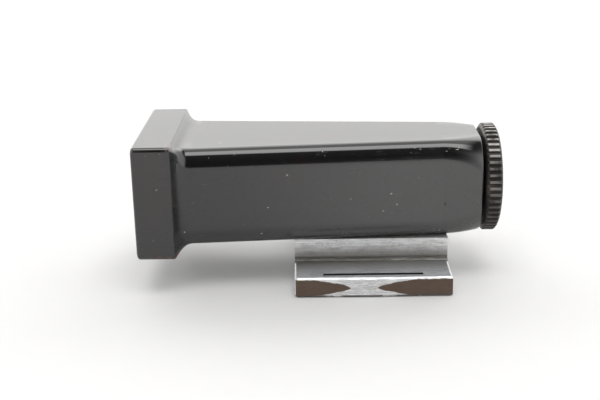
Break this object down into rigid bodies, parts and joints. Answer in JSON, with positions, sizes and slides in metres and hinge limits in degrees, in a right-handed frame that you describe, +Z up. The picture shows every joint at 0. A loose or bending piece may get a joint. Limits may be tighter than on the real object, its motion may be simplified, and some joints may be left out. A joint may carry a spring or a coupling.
{
  "type": "camera viewfinder",
  "caption": "Slip-on optical viewfinder with a rectangular front window, a tapered black housing, a screw-focusing knurled eyepiece and an accessory-shoe foot.",
  "frame": {"origin": "centre of the foot's underside", "axes": "+Z up out of the foot, +X along the optical axis towards the eye, so the finder looks along -X"},
  "size_m": [0.0355, 0.0184, 0.0148],
  "materials": {
    "black_lacquer": "glossy black stoving lacquer, fine scratches and dust",
    "dull_black": "dull black optical paint",
    "ring_black": "worn black oxide on brass, light ridge tips",
    "foot_metal": "milled and brushed bare metal with brown tarnish on the edges",
    "screw_steel": "turned steel",
    "brass": "turned brass",
    "gasket": "black fibre",
    "lens_glass": "polished glass with a faint blue coating"
  },
  "bodies": {
    "housing": {"body_shell": "black_lacquer", "front_bezel": "dull_black", "bezel_screw_left": "screw_steel", "bezel_screw_right": "screw_steel", "front_lens": "lens_glass", "lens_gasket": "gasket", "front_baffle": "dull_black", "rear_baffle": "dull_black", "frame_glass": "lens_glass", "frame_glass_holder": "dull_black", "nut_plate": "brass", "foot_block": "foot_metal", "foot_screw_front": "screw_steel", "foot_screw_rear": "screw_steel", "eyepiece_bushing": "ring_black", "bushing_set_screw": "screw_steel"},
    "eye_lens_slide": {"eye_lens": "lens_glass"},
    "eyepiece": {"eyepiece_tube": "ring_black", "tube_stop_ring": "brass", "eye_lens_retainer": "dull_black", "focus_ring": "ring_black", "ring_set_screw": "screw_steel"}
  },
  "joints": [
    {"name": "eyepiece_travel", "type": "slide", "parent": "housing", "child": "eye_lens_slide", "axis": [1, 0, 0], "range_m": [-0.00013, 0.00112]},
    {"name": "eyepiece_turn", "type": "hinge", "parent": "eye_lens_slide", "child": "eyepiece", "pos_m": [0.0116, 0, 0.0092], "axis": [1, 0, 0], "range_deg": [-60, 540]}
  ],
  "couplings": [
    {"joint": "eyepiece_turn", "follows": "eyepiece_travel", "rad_per_m": 8377.6}
  ]
}
